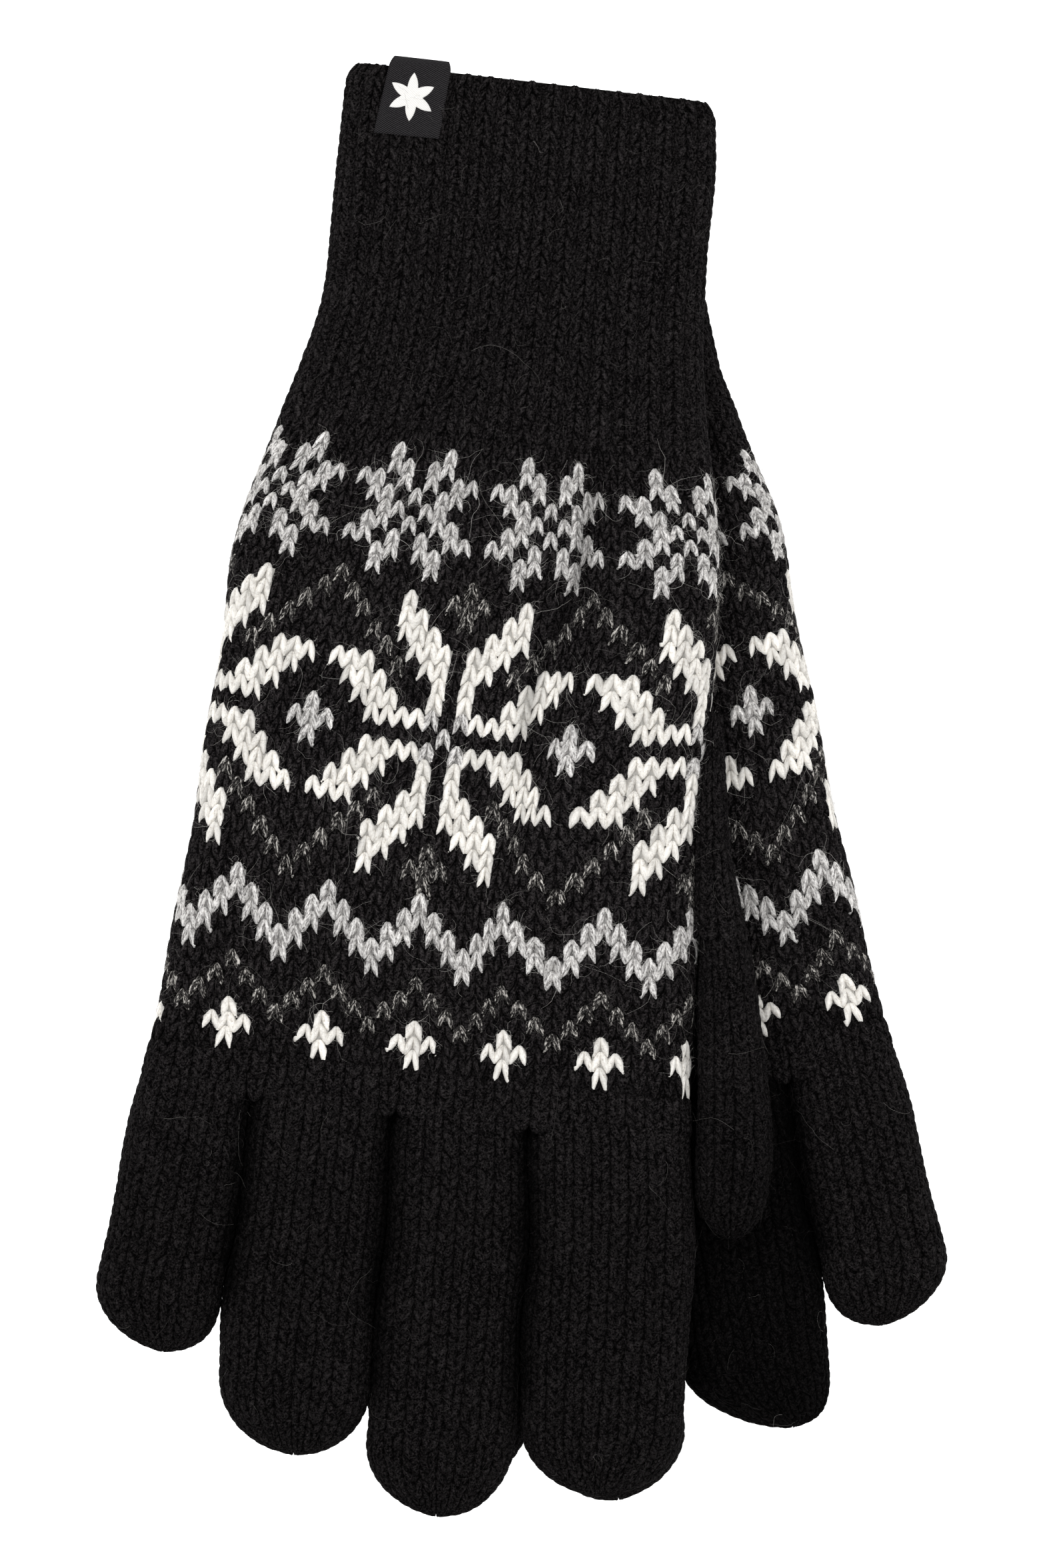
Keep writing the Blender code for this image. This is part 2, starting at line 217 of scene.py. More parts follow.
def world(glove, u, t, z):
    """Glove coordinates in mm to the frame's metres."""
    if glove == "front":
        a = radians(FRONT_TILT)
        x = FRONT_ORIGIN[0] + u * cos(a) - t * sin(a)
        y = FRONT_ORIGIN[1] - u * sin(a) - t * cos(a)
        z = z + LAYER
    else:
        line_t, line_x, line_y, line_a = REAR_LINE
        a = np.interp(t, line_t, line_a)
        x = np.interp(t, line_t, line_x) - u * np.cos(a)
        y = np.interp(t, line_t, line_y) - u * np.sin(a)
    return np.stack([(x - CENTRE[0]) * MM, (y - CENTRE[1]) * MM, z * MM], axis=-1)


def spot(glove, u, t, z):
    return Vector(world(glove, np.float64(u), np.float64(t), np.float64(z)))


def around(share, w, h, reach):
    """Point and outward direction at a share of the way round a flattened tube, from its top."""
    flat = w - reach
    arc = pi / 2 * (reach + h)
    full = 4 * flat + 2 * arc
    s = (share % 1.0) * full
    right = (s - flat) / arc * pi
    left = (s - 3 * flat - arc) / arc * pi
    where = [s < flat, s < flat + arc, s < 3 * flat + arc, s < 3 * flat + 2 * arc]
    zero = np.zeros_like(s)
    one = np.ones_like(s)
    u = np.select(where, [s, flat + reach * np.sin(right), 2 * flat + arc - s,
                          -flat - reach * np.sin(left)], s - full)
    z = np.select(where, [h * one, h * np.cos(right), -h * one, -h * np.cos(left)], h * one)
    nu = np.select(where, [zero, np.sin(right), zero, -np.sin(left)], zero)
    nz = np.select(where, [one, np.cos(right), -one, -np.cos(left)], one)
    return u, z, nu, nz


def fold_depth(glove, u, t, nz):
    """Depth of the soft fold that runs down the top of the front glove."""
    if glove != "front":
        return 0.0 * t
    off = (u - curve(FOLD_LINE, t)) / FOLD_WIDTH
    return curve(FOLD_DEPTH, t) * np.exp(-off ** 2) * np.clip(nz, 0.0, 1.0)


class Tube:
    """A flattened knitted tube of one glove, with an optional domed end.

    low, high, half and mid give its sides, half its height and its middle height at each t. The
    domed end starts at base, is end long and has its tip at tip_u.
    """

    def __init__(self, glove, low, high, half, mid=lambda t: THICK / 2 + 0 * t, base=None, end=1.0,
                 tip_u=0.0, drop=None):
        self.glove = glove
        self.low = low
        self.high = high
        self.half = half
        self.mid = mid
        self.base = base
        self.end = end
        self.tip_u = tip_u
        self.drop = drop  # past this t the cloth sinks under that of the fingers

    def size(self, t):
        low, high = self.low(t), self.high(t)
        return (low + high) / 2, (high - low) / 2, self.half(t)

    def spread(self, share, t):
        """How far across the tube a point is, from -1 to 1."""
        _, w, h = self.size(t)
        return around(share, w, h, np.minimum(SIDE, w))[0] / w

    def point(self, share, t, lift):
        share, t, lift = np.broadcast_arrays(share, t, lift)
        turn = np.zeros_like(t)
        if self.base is not None:
            turn = np.clip((t - self.base) / self.end, 0.0, radians(CLOSED))
            t = np.where(t > self.base, self.base, t)
        centre, w, h = self.size(t)
        c, s = np.cos(turn), np.sin(turn)
        if self.base is not None:
            centre = centre + (self.tip_u - centre) * s ** 2
            t = t + self.end * s
        u, z, nu, nz = around(share, w * c, h * c, np.minimum(SIDE, w * c))
        if self.drop is not None:
            lift = lift - ROOT_SINK * np.clip((t - self.drop) / 2.5, 0.0, 1.0)
        lift = lift * (1.0 - EDGE_FLAT * nu ** 2)
        wave = 0.22 * np.sin(0.21 * t + 0.13 * u + 1.3) + 0.18 * np.sin(0.33 * u - 0.17 * t)
        lift = lift + wave * c
        if self.drop is not None:
            lift = lift - fold_depth(self.glove, u, t, nz)
        crown = 1.0 - CROWN * (u / np.maximum(w * c, 0.1)) ** 2
        u = centre + u + nu * lift * c
        z = self.mid(t) + z * crown + nz * lift * c
        return world(self.glove, u, t + lift * s, z)


def hand_tube(glove):
    def half(t):
        cuff, hand = CUFF_THICK / 2, THICK / 2
        return curve([(0, cuff), (CUFF_END, cuff), (80, hand), (200, hand)], t)

    def width(t):
        return curve(WIDTH[glove], t)

    def sway(t):
        return curve([(5, 0.0), (42, FRONT_SWAY if glove == "front" else 0.0), (75, 0.0)], t)

    return Tube(glove, lambda t: sway(t) - width(t), lambda t: sway(t) + width(t), half,
                drop=ROOT - 0.2)


def digit_of(glove, name):
    return REAR_RING if (glove, name) == ("rear", "ring") else DIGITS[name]


def digit_tube(glove, name):
    """Neighbouring fingers are a little fuller than the CAD, so that they press together."""
    digit = digit_of(glove, name)
    base = digit["tip"] - digit["end"]

    def fuller(t):
        return curve([(base - 14, FULLER), (base, 0.1)], t)

    low = fuller if name in ("ring", "middle", "index") else lambda t: 0 * t
    high = fuller if name in ("little", "ring", "middle") else lambda t: 0 * t
    slim = THUMB_SLIM if name == "thumb" else 0.0
    shift = slim if glove == "front" else -slim

    def thinner(t):
        return curve([(THUMB_ROOT, 0.35), (THUMB_ROOT + 10, 1.0)], t)

    return Tube(glove, lambda t: curve(digit["low"], t) - low(t),
                lambda t: curve(digit["high"], t) + high(t),
                lambda t: THICK / 2 - slim * thinner(t), lambda t: THICK / 2 + shift * thinner(t),
                base, digit["end"], digit["tip_u"])


def gusset_tube(glove):
    def half(t):
        return curve([(THUMB_START, GUSSET_START_HALF), (131, THICK / 2), (160, THICK / 2)], t)

    return Tube(glove, lambda t: curve(WIDTH[glove], t) - 1.0,
                lambda t: curve(GUSSET_HIGH, t), half)


# ------------------------------ pattern
STAR = {1: (1, 2, 3, 4, 5), 2: (1, 4, 5, 6), 3: (1, 5, 6, 7), 4: (1, 2, 6, 7, 8),
        5: (1, 2, 3), 6: (2, 3, 4), 7: (3, 4), 8: (4,)}
FLAKE = [(2,), (1, 2), (1, 3, 4), (0, 2, 3), (1, 2), (0, 2, 3), (1, 3, 4), (1, 2), (2,)]
FLAKE_ROW = -18
FLAKE_COLUMNS = (-36, -25, -15, -5, 5, 15, 25)


def star_band(column, row):
    """Eight-pointed stars with small flowers and a diamond between them."""
    c, r = abs(column), abs(row)
    gap = REPEAT // 2 - c
    if r == 0 and c == 0:
        return LIGHT
    if c in STAR.get(r, ()):
        return LIGHT if (c, r) == (1, 1) else CREAM
    if gap == 0 and r <= 1 or gap == 1 and r == 0:
        return LIGHT
    if gap <= 5 and gap + r == 9:
        return DARK
    if c == 0 and 7 <= r <= 9 or c == 1 and r == 8:
        return DARK
    return BLACK


def zigzag_band(column, row):
    offset = abs((column + 3) % 6 - 3)
    if row in (10 + offset, 11 + offset):
        return LIGHT
    if row == 15 + offset:
        return DARK
    if offset == 0 and 18 <= row <= 20 or offset == 1 and row == 19:
        return CREAM
    return BLACK


def chart(column, row):
    if FLAKE_ROW <= row < FLAKE_ROW + len(FLAKE):
        offsets = [abs((column - k + WALES // 2) % WALES - WALES // 2) for k in FLAKE_COLUMNS]
        return LIGHT if min(offsets) in FLAKE[row - FLAKE_ROW] else BLACK
    column = (column + REPEAT // 2) % REPEAT - REPEAT // 2
    if abs(row) <= 9:
        return star_band(column, row)
    return zigzag_band(column, row)


# ------------------------------ materials
def link(tree, source, target):
    tree.links.new(source, target)


def node(tree, kind, **inputs):
    made = tree.nodes.new(kind)
    for key, value in inputs.items():
        made.inputs[key.replace("_", " ")].default_value = value
    return made


def math_node(tree, operation, a, b=None, clamp=False):
    made = tree.nodes.new("ShaderNodeMath")
    made.operation = operation
    made.use_clamp = clamp
    for socket, value in zip(made.inputs, (a, b)):
        if value is None:
            continue
        if isinstance(value, (int, float)):
            socket.default_value = value
        else:
            link(tree, value, socket)
    return made.outputs[0]


def mix_colour(tree, share, a, b, blend="MIX"):
    made = tree.nodes.new("ShaderNodeMix")
    made.data_type = "RGBA"
    made.blend_type = blend
    for index, value in ((0, share), (6, a), (7, b)):
        socket = made.inputs[index]
        if isinstance(value, (int, float)):
            socket.default_value = value
        elif isinstance(value, tuple):
            socket.default_value = (*value, 1.0)
        else:
            link(tree, value, socket)
    return made.outputs[2]


def curly(tree, where, scale, width, seed):
    """Thin curling lines like stray wool fibres: the middle level of a soft noise."""
    shift = node(tree, "ShaderNodeMapping")
    shift.inputs["Location"].default_value = (seed * 0.37, seed * 0.11, seed * 0.23)
    link(tree, where, shift.inputs["Vector"])
    noise = node(tree, "ShaderNodeTexNoise", Scale=scale, Detail=1.5, Roughness=0.55)
    link(tree, shift.outputs[0], noise.inputs["Vector"])
    off = math_node(tree, "SUBTRACT", noise.outputs[0], 0.5)
    off = math_node(tree, "ABSOLUTE", off)
    off = math_node(tree, "DIVIDE", off, width)
    return math_node(tree, "SUBTRACT", 1.0, off, clamp=True)


def wool_shader(name):
    mat = bpy.data.materials.new(name)
    mat.use_nodes = True
    shader = mat.node_tree.nodes["Principled BSDF"]
    shader.inputs["Roughness"].default_value = 0.9
    shader.inputs["Specular IOR Level"].default_value = 0.03
    return mat, mat.node_tree, shader


def finish_wool(tree, shader, colour, height, depth):
    """Shades the colour by the tone of each stitch, which holds painted shade as well as random
    change, and adds the relief of the fibres.
    """
    tone = tree.nodes.new("ShaderNodeAttribute")
    tone.attribute_name = "tone"
    shade = tree.nodes.new("ShaderNodeCombineColor")
    for socket in shade.inputs[:3]:
        link(tree, tone.outputs["Fac"], socket)
    colour = mix_colour(tree, 1.0, colour, shade.outputs[0], "MULTIPLY")
    link(tree, colour, shader.inputs["Base Color"])
    bump = node(tree, "ShaderNodeBump", Strength=0.6, Distance=depth)
    link(tree, height, bump.inputs["Height"])
    link(tree, bump.outputs[0], shader.inputs["Normal"])


# strands as (across, lengthwise, turn) in a stitch's millimetres, curls as (scale, width of a line,
# seed) and the other scales in the frame's metres
STRANDS = ((3.0, 0.5, 0.2), (4.6, 1.4, -0.35))
GRAIN_SCALE = 2600.0
COARSE_CURLS = (900.0, 0.03, 1.0)
FINE_CURLS = (1500.0, 0.035, 2.0)
CLOUD_SCALE = 260.0
WOOL_BUMP = 0.0001  # depth of the fibres' relief, metres
TAPE_BUMP = 0.00006


def yarn(name, low, high, bias, contrast, grain=0.0, fibre=(0.5, 0.5, 0.5), amount=0.0):
    """Wool: strands of two tones along each leg of a stitch, broken by a grain and stray fibres.

    A higher bias gives more of the low tone, contrast sharpens the strands, and amount is how
    much of the fibre colour shows.
    """
    mat, tree, shader = wool_shader(name)
    place = tree.nodes.new("ShaderNodeTexCoord").outputs["Object"]
    uv = tree.nodes.new("ShaderNodeUVMap")
    uv.uv_map = "fibre"
    total = None
    for across, lengthwise, turn in STRANDS:
        along = node(tree, "ShaderNodeMapping")
        along.inputs["Scale"].default_value = (across, lengthwise, 1.0)
        along.inputs["Rotation"].default_value = (0.0, 0.0, turn)
        link(tree, uv.outputs[0], along.inputs["Vector"])
        noise = node(tree, "ShaderNodeTexNoise",
                     Scale=1.0, Detail=2.0, Roughness=0.6, Distortion=0.4)
        link(tree, along.outputs[0], noise.inputs["Vector"])
        strand = noise.outputs[0]
        total = strand if total is None else math_node(tree, "ADD", total, strand)
    specks = node(tree, "ShaderNodeTexNoise", Scale=GRAIN_SCALE, Detail=2.0, Roughness=0.7)
    link(tree, place, specks.inputs["Vector"])
    speck = math_node(tree, "MULTIPLY", specks.outputs[0], grain)
    total = math_node(tree, "ADD", total, speck)
    share = math_node(tree, "MULTIPLY_ADD", total, contrast / (2 + grain))
    share.node.inputs[2].default_value = -bias * contrast
    share.node.use_clamp = True
    lines = math_node(tree, "MAXIMUM", curly(tree, place, *COARSE_CURLS),
                      curly(tree, place, *FINE_CURLS))
    cloud = node(tree, "ShaderNodeTexNoise", Scale=CLOUD_SCALE, Detail=2.0)
    link(tree, place, cloud.inputs["Vector"])
    thick = math_node(tree, "MULTIPLY_ADD", cloud.outputs[0], 2.4)
    thick.node.inputs[2].default_value = -0.6
    thick.node.use_clamp = True
    stray = math_node(tree, "MULTIPLY", lines, thick)
    stray = math_node(tree, "MULTIPLY", stray, amount, clamp=True)
    colour = mix_colour(tree, share, low, high)
    colour = mix_colour(tree, stray, colour, fibre)
    finish_wool(tree, shader, colour, math_node(tree, "ADD", total, lines), WOOL_BUMP)
    return mat


def woven(name, low, high, pitch, turn):
    """Fine woven tape: slanting ribs of thread."""
    mat, tree, shader = wool_shader(name)
    uv = tree.nodes.new("ShaderNodeUVMap")
    uv.uv_map = "fibre"
    slant = node(tree, "ShaderNodeMapping")
    slant.inputs["Rotation"].default_value = (0.0, 0.0, turn)
    link(tree, uv.outputs[0], slant.inputs["Vector"])
    ribs = node(tree, "ShaderNodeTexWave", Scale=pi / 10 / pitch, Distortion=1.2, Detail=2.0)
    ribs.inputs["Detail Scale"].default_value = 3.0
    link(tree, slant.outputs[0], ribs.inputs["Vector"])
    grain = node(tree, "ShaderNodeTexNoise", Scale=4.0, Detail=2.0)
    link(tree, uv.outputs[0], grain.inputs["Vector"])
    share = math_node(tree, "MULTIPLY", ribs.outputs["Fac"], grain.outputs[0])
    share = math_node(tree, "MULTIPLY", share, 1.8, clamp=True)
    finish_wool(tree, shader, mix_colour(tree, share, low, high), ribs.outputs["Fac"], TAPE_BUMP)
    return mat


# in the order of BLACK, DARK, LIGHT, CREAM and then of the names below
YARNS = [
    yarn("black_wool", (0.0006, 0.0004, 0.0005), (0.044, 0.039, 0.040), 0.46, 5.5,
         3.0, (0.050, 0.046, 0.046), 0.5),
    yarn("dark_grey_wool", (0.008, 0.007, 0.007), (0.64, 0.61, 0.57), 0.51, 10.0,
         0.0, (0.30, 0.28, 0.27), 0.2),
    yarn("light_grey_wool", (0.12, 0.112, 0.11), (0.88, 0.86, 0.84), 0.415, 7.0,
         0.4, (0.85, 0.83, 0.81), 0.5),
    yarn("cream_wool", (0.50, 0.455, 0.39), (0.94, 0.912, 0.86), 0.34, 7.0,
         0.8, (0.95, 0.94, 0.92), 0.5),
    yarn("black_fuzz", (0.020, 0.018, 0.018), (0.060, 0.055, 0.055), 0.40, 4.0),
    yarn("pale_fuzz", (0.50, 0.48, 0.45), (0.85, 0.83, 0.80), 0.40, 4.0),
    yarn("grey_fuzz", (0.10, 0.095, 0.09), (0.30, 0.285, 0.27), 0.40, 4.0),
    woven("label_twill", (0.0045, 0.004, 0.0045), (0.040, 0.038, 0.040), 0.30, -0.95),
    woven("label_thread", (0.78, 0.76, 0.73), (0.92, 0.91, 0.89), 0.30, 0.9),
]
BLACK_FUZZ, PALE_FUZZ, GREY_FUZZ, TWILL, THREAD = range(4, 9)


# ------------------------------ meshes
class Mesh:
    """Collects quads with a material, a fibre coordinate and a tone for each point."""

    def __init__(self):
        self.points, self.quads, self.slots, self.fibre, self.tone = [], [], [], [], []
        self.count = 0

    def add(self, points, quads, slots, fibre, tone):
        self.points.append(points)
        self.quads.append(quads + self.count)
        self.slots.append(slots)
        self.fibre.append(fibre)
        self.tone.append(tone)
        self.count += len(points)

    def make(self, name, body):
        points = np.concatenate(self.points)
        quads = np.concatenate(self.quads)
        slots = np.concatenate(self.slots)
        fibre = np.concatenate(self.fibre)
        mesh = bpy.data.meshes.new(name)
        mesh.vertices.add(len(points))
        mesh.vertices.foreach_set("co", points.ravel())
        mesh.loops.add(quads.size)
        mesh.loops.foreach_set("vertex_index", quads.ravel().astype(np.int32))
        mesh.polygons.add(len(quads))
        mesh.polygons.foreach_set("loop_start", np.arange(0, quads.size, 4, dtype=np.int32))
        used = np.unique(slots)
        index = np.zeros(len(YARNS), dtype=np.int32)
        index[used] = np.arange(len(used))
        for k in used:
            mesh.materials.append(YARNS[k])
        mesh.polygons.foreach_set("material_index", index[slots])
        mesh.polygons.foreach_set("use_smooth", np.ones(len(quads), dtype=bool))
        mesh.update(calc_edges=True)
        layer = mesh.uv_layers.new(name="fibre")
        layer.data.foreach_set("uv", fibre[quads.ravel()].astype(np.float32).ravel())
        tone = mesh.attributes.new("tone", "FLOAT", "POINT")
        tone.data.foreach_set("value", np.concatenate(self.tone).astype(np.float32))
        obj = bpy.data.objects.new(name, mesh)
        bpy.context.scene.collection.objects.link(obj)
        if body:
            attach(obj, body)
        return obj


def grid_quads(rows, columns, wrap, flip):
    """Quads of a grid of points, row by row."""
    r = np.arange(rows - 1)[:, None]
    c = np.arange(columns if wrap else columns - 1)[None, :]
    a = r * columns + c
    b = r * columns + (c + 1) % columns
    quads = np.stack([a, b, b + columns, a + columns], axis=-1).reshape(-1, 4)
    return quads[:, ::-1] if flip else quads


LEG_STEPS = np.array([0.0, 0.10, 0.32, 0.58, 0.84, 1.0])
LEG_X = np.array([0.04, 0.10, 0.20, 0.31, 0.42, 0.49])  # middle line of a leg, in wales
LEG_HALF = np.array([0.05, 0.155, 0.235, 0.265, 0.20, 0.06])  # its half width, in wales
LEG_TOP = np.array([-0.10, 0.26, 0.44, 0.46, 0.30, -0.10])  # its height over the surface, mm
LEG_TURNS = np.radians([-90, -45, 0, 45, 90])
LEG_DEPTH = np.array([0.5, 0.1, -0.12, 0.1, 0.5])  # how deep in shade each side of it lies
TIP_DEPTH = np.array([0.35, 0.1, 0.0, 0.0, 0.05, 0.25])
BLACK_DEPTH, PALE_DEPTH = 1.6, 0.3  # how strongly black and other yarn darkens with that depth
DEEPEST = 0.05  # but never to less than this
# how bright the black yarn is along a glove: brighter on the pattern, partly because it is fuzzier,
# and darker on the cuff and fingers as painted shade
BLACK_FUZZ_AND_PAINTED_SHADE = [(0, 0.77), (58, 0.81), (78, 1.0), (150, 1.02), (181, 0.69), (200, 0.54)]


def leg(side, wale, course, full):
    """Points of one leg of a stitch, as (wales across, courses along, height)."""
    reach = (course + OVERLAP) / course
    y = -0.04 + (reach + 0.04) * LEG_STEPS
    dx = np.gradient(LEG_X * wale, y * course)
    lean = np.arctan(dx)
    offset = LEG_HALF[:, None] * full * wale * np.sin(LEG_TURNS)[None, :]
    across = LEG_X[:, None] + offset * np.cos(lean)[:, None] / wale
    down = y[:, None] - offset * np.sin(lean)[:, None] / course
    floor = SKIN - 0.1
    height = floor + (LEG_TOP[:, None] - floor) * np.cos(LEG_TURNS)[None, :]
    return np.stack([side * across, down, height], axis=-1), offset, y


def knit(mesh, tube, columns, rows, share_of, t_of, wale, course, slot_of, flip,
         top=0.0, relief=1.0, full=1.0, shade=1.0, dim=None):
    """Lays a stitch at every column and row: two legs that spread towards the finger tips.

    share_of and t_of place a column and row on the tube, slot_of gives the yarn, top lifts the
    stitches, relief scales their height, full their width, shade scales the brightness of black
    ones as painted shade or light, and dim adds painted shade.
    """
    cc, rr = np.meshgrid(columns, rows, indexing="ij")
    cc, rr = cc.ravel(), rr.ravel()
    slots = np.array([slot_of(int(c), int(r)) for c, r in zip(cc, rr)])
    n = len(cc)
    black = slots == BLACK
    middle_t = t_of(share_of(cc + 0.0, rr + 0.5), rr + 0.5)
    # black stitches take that brightness along the glove, and their piece's painted shade or light
    base_tone = np.where(black, shade * curve(BLACK_FUZZ_AND_PAINTED_SHADE, middle_t), 1.0)
    depth = (LEG_DEPTH[None, :] + TIP_DEPTH[:, None]).ravel()
    shift = RNG.normal(0.0, 0.035, (n, 2))
    slant = RNG.normal(0.0, 0.045, (n, 1))
    for side in (-1, 1):
        shape, offset, y = leg(side, wale, course, full)
        count = shape.shape[0] * shape.shape[1]
        shape = shape.reshape(1, count, 3)
        plump = 1.0 + RNG.normal(0.0, 0.07, (n, 1)) + RNG.normal(0.0, 0.05, (n, count))
        c = cc[:, None] + shift[:, :1] + shape[..., 0] * plump + slant * (shape[..., 1] - 0.5)
        r = rr[:, None] + shift[:, 1:] + shape[..., 1]
        lift = shape[..., 2] * (relief + RNG.normal(0.0, 0.08, (n, 1))) + top
        share = share_of(c, r)
        t = t_of(share, r)
        points = tube.point(share, t, lift).reshape(-1, 3)
        rings = shape.shape[1] // len(LEG_TURNS)
        quads = grid_quads(rings, len(LEG_TURNS), False, flip != (side < 0))
        faces = (quads[None] + np.arange(n)[:, None, None] * count).reshape(-1, 4)
        fibre = np.stack([offset.ravel() * side + 0 * y.repeat(len(LEG_TURNS)),
                          y.repeat(len(LEG_TURNS)) * course], axis=-1)
        fibre = fibre[None] + RNG.uniform(0, 50, (n, 1, 2))
        tone = (base_tone * RNG.normal(1.0, 0.08, n))[:, None]
        # painted shade on the sides and ends of each leg
        strength = np.where(black, BLACK_DEPTH, PALE_DEPTH)[:, None]
        tone = tone * np.maximum(1.0 - depth[None, :] * strength, DEEPEST)
        if dim is not None:
            tone = tone * dim(share, t)
        mesh.add(points, faces, slots.repeat(len(quads)), fibre.reshape(-1, 2), tone.ravel())


def all_black(column, row):
    return BLACK


def even_grid(start, course, wales):
    """Places the columns and rows of plain knitting with so many stitches round."""
    return (lambda column, row: column / wales + 0 * row,
            lambda share, row: start + row * course + 0 * share)


def ground_colour(column, row):
    """The ground shows the yarn only where the next row is pale too, and is black elsewhere."""
    here, below = chart(column, row), chart(column, row + 1)
    return here if min(here, below) >= LIGHT else BLACK


def ground(mesh, tube, edges, rows, share_of, t_of, slots, flip):
    """The knitted cloth that the stitches stand on: a thin closed shell, outer and inner skin."""
    column, r = np.meshgrid(edges, rows, indexing="xy")
    share = share_of(column, r)
    t = t_of(share, r)
    columns = len(edges)
    skins = [tube.point(share, t, SKIN), tube.point(share, t, SKIN - WALL)]
    outer = grid_quads(len(rows), columns, True, flip)
    inner = grid_quads(len(rows), columns, True, not flip) + share.size
    a = np.arange(columns)
    b = (a + 1) % columns
    rims = []
    for start, turned in ((0, flip), ((len(rows) - 1) * columns, not flip)):
        rim = np.stack([a, a + share.size, b + share.size, b], axis=-1) + start
        rims.append(rim[:, ::-1] if turned else rim)
    quads = np.concatenate([outer, inner] + rims)
    points = np.concatenate([s.reshape(-1, 3) for s in skins])
    if slots is None:
        slot = np.zeros(len(quads), dtype=int)
    else:
        slot = np.concatenate([slots, np.zeros(len(quads) - len(slots), dtype=int)])
    fibre = np.stack([share.ravel() * 190.0, t.ravel()], axis=-1)
    # the ground is at half tone: painted shade in the gaps between the stitches
    mesh.add(points, quads, slot, np.concatenate([fibre, fibre]), np.full(len(points), 0.5))


HAND_HAIRS = {"top": 10000, "under": 4500}  # fibres tried on each side of a hand
CUFF_HAIRS = 1800
LOWER_HAIRS, UPPER_HAIRS, GUSSET_HAIRS = 110, 260, 60
HAIR_START = 0.25  # height over the cloth where a fibre starts, mm
HAIR_THICK = (0.008, 0.019)  # half its thickness, mm
HAIR_TAPER = 0.45  # thickness of its end, against its start
HAIR_RISE = 3.2  # the most that a fibre stands off the cloth, mm
HAIR_CURL = 5.0  # steps of a fibre for which its wander is given


def fuzz(mesh, tube, count, column_range, row_range, share_of, t_of, slot_of, length, pale=None,
         steps=6):
    """Stray fibres: thin curling strands that start in a stitch and lift off the cloth.

    Each is a three-sided tube of so many steps, with a mean length in mm. With pale given, only the
    fibres that start in pale stitches, or only the others, are kept.
    """
    column = RNG.uniform(*column_range, count)
    row = RNG.uniform(*row_range, count)
    slots = slot_of(column, row)
    if pale is not None:
        kept = (slots != BLACK_FUZZ) == pale
        column, row, slots = column[kept], row[kept], slots[kept]
        count = len(slots)
    share = share_of(column, row)
    long = RNG.gamma(2.2, length / 2.2, count) + 0.4
    step = long / (steps - 1)
    heading = RNG.uniform(0, 2 * pi, count)
    curl = HAIR_CURL / (steps - 1)
    bend = RNG.normal(0.0, 0.45 * curl, count)
    rise = RNG.gamma(1.6, 0.17, count) * np.minimum(long / 3.0, 1.3) * curl
    rise = np.minimum(rise, HAIR_RISE / (steps - 1))
    t = t_of(share, row)
    _, w, h = tube.size(t)
    full = 4 * (w - np.minimum(SIDE, w)) + pi * (np.minimum(SIDE, w) + h)
    path = []
    for k in range(steps):
        path.append(tube.point(share, t, HAIR_START + rise * k))
        share = share + step * np.cos(heading) / full
        t = t + step * np.sin(heading)
        heading = heading + bend + RNG.normal(0.0, 0.35 * curl, count)
        bend = bend * 0.8 + RNG.normal(0.0, 0.25 * curl, count)
    path = np.stack(path, axis=1)
    ahead = np.gradient(path, axis=1)
    ahead /= np.linalg.norm(ahead, axis=2, keepdims=True) + 1e-12
    side = np.cross(ahead, np.array([0.31, 0.52, 0.79]))  # any direction that no fibre follows
    side /= np.linalg.norm(side, axis=2, keepdims=True) + 1e-12
    other = np.cross(ahead, side)
    thick = RNG.uniform(*HAIR_THICK, count)[:, None, None] * MM
    taper = np.linspace(1.0, HAIR_TAPER, steps)[None, :, None]
    rings = []
    for k in range(3):
        a = 2 * pi * k / 3
        rings.append(path + (side * cos(a) + other * sin(a)) * thick * taper)
    points = np.stack(rings, axis=2).reshape(-1, 3)
    quads = grid_quads(steps, 3, True, True)
    faces = (quads[None] + np.arange(count)[:, None, None] * steps * 3).reshape(-1, 4)
    fibre = np.tile(RNG.uniform(0, 50, (count, 1, 2)), (1, steps * 3, 1)).reshape(-1, 2)
    tone = np.repeat(RNG.normal(1.0, 0.25, count).clip(0.5, 1.6), steps * 3)
    mesh.add(points, faces, slots.repeat(len(quads)), fibre, tone)


def one_fuzz(slot):
    return lambda column, row: np.full(len(column), slot)


# ------------------------------ the hand
class HandGrid:
    """Where the columns and rows of the pattern lie on the tube of a hand."""

    def __init__(self, glove, tube):
        self.glove = glove
        self.tube = tube

    def straight(self, row):
        knots = np.array(ROWS[self.glove], float)
        past = np.maximum(row - knots[-1, 0], 0)
        return np.interp(row, knots[:, 0], knots[:, 1]) + past * ROW_PITCH

    def t_of(self, share, row):
        """Where a row lies along the glove, at a share of the way round."""
        t = self.straight(row)
        across = self.tube.spread(share, t)
        return t - curve(ROW_BOW, t) * across ** 2 - curve(ROW_SLOPE, t) * across

    def share_of(self, column, row):
        t = self.straight(row)
        _, w, h = self.tube.size(t)
        full = 4 * (w - SIDE) + pi * (SIDE + h)
        near = (column + WALES / 2) % WALES - WALES / 2
        u = curve(STAR_LINE[self.glove], t)
        if self.glove == "front":
            off = (near - curve(CREASE_COLUMN, t)) / CREASE_COLUMNS
            u = u + curve(CREASE_PULL, t) * np.exp(-off ** 2)
        turn = 2 * pi * column / WALES
        return u / full + column / WALES + curve(SQUEEZE, t) * np.sin(turn) / (2 * pi)


def fold_shade(tube):
    """Painted shade: the yarn is darker down in the soft fold."""
    def dim(share, t):
        _, w, h = tube.size(t)
        u, _, _, nz = around(share, w, h, np.minimum(SIDE, w))
        return 1.0 - FOLD_SHADE * fold_depth(tube.glove, u, t, nz)
    return dim


